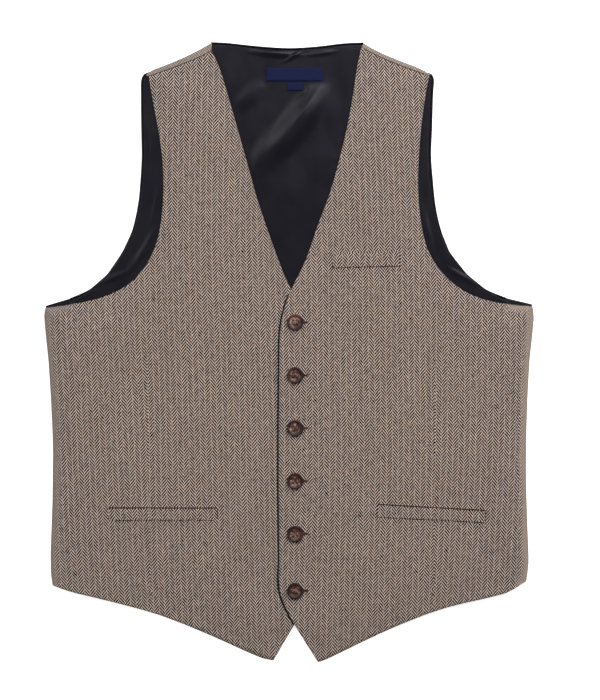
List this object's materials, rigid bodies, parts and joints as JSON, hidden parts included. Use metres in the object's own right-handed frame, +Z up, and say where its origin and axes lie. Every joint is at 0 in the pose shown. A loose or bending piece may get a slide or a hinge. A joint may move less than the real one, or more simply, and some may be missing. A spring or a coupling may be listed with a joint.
{
  "type": "suit waistcoat laid flat",
  "caption": "Tailored herringbone waistcoat laid flat and buttoned: two pointed fronts with welt pockets over a plain satin back, V neck.",
  "frame": {"origin": "middle of the garment's outline, on the surface that it lies on", "axes": "+X towards the wearer's left side, +Y towards the neck, +Z up, away from the surface"},
  "size_m": [0.522, 0.6608, 0.0109],
  "materials": {
    "tweed": "wool-look herringbone twill in pale and dark brown yarn, soft and matt",
    "back_satin": "black satin with a soft sheen",
    "lining_satin": "black satin lining with broad soft highlights",
    "label_tape": "tightly woven navy tape",
    "button_resin": "polished marbled brown resin, like horn"
  },
  "bodies": {
    "root": {"back": "back_satin", "back_lining": "lining_satin", "front_right": "tweed", "front_left": "tweed", "shoulder_right": "tweed", "shoulder_left": "tweed", "welt_chest": "tweed", "welt_lower_left": "tweed", "welt_lower_right": "tweed", "neck_label": "label_tape", "size_tab": "label_tape", "button_1": "button_resin", "button_2": "button_resin", "button_3": "button_resin", "button_4": "button_resin", "button_5": "button_resin", "button_6": "button_resin"}
  },
  "joints": []
}
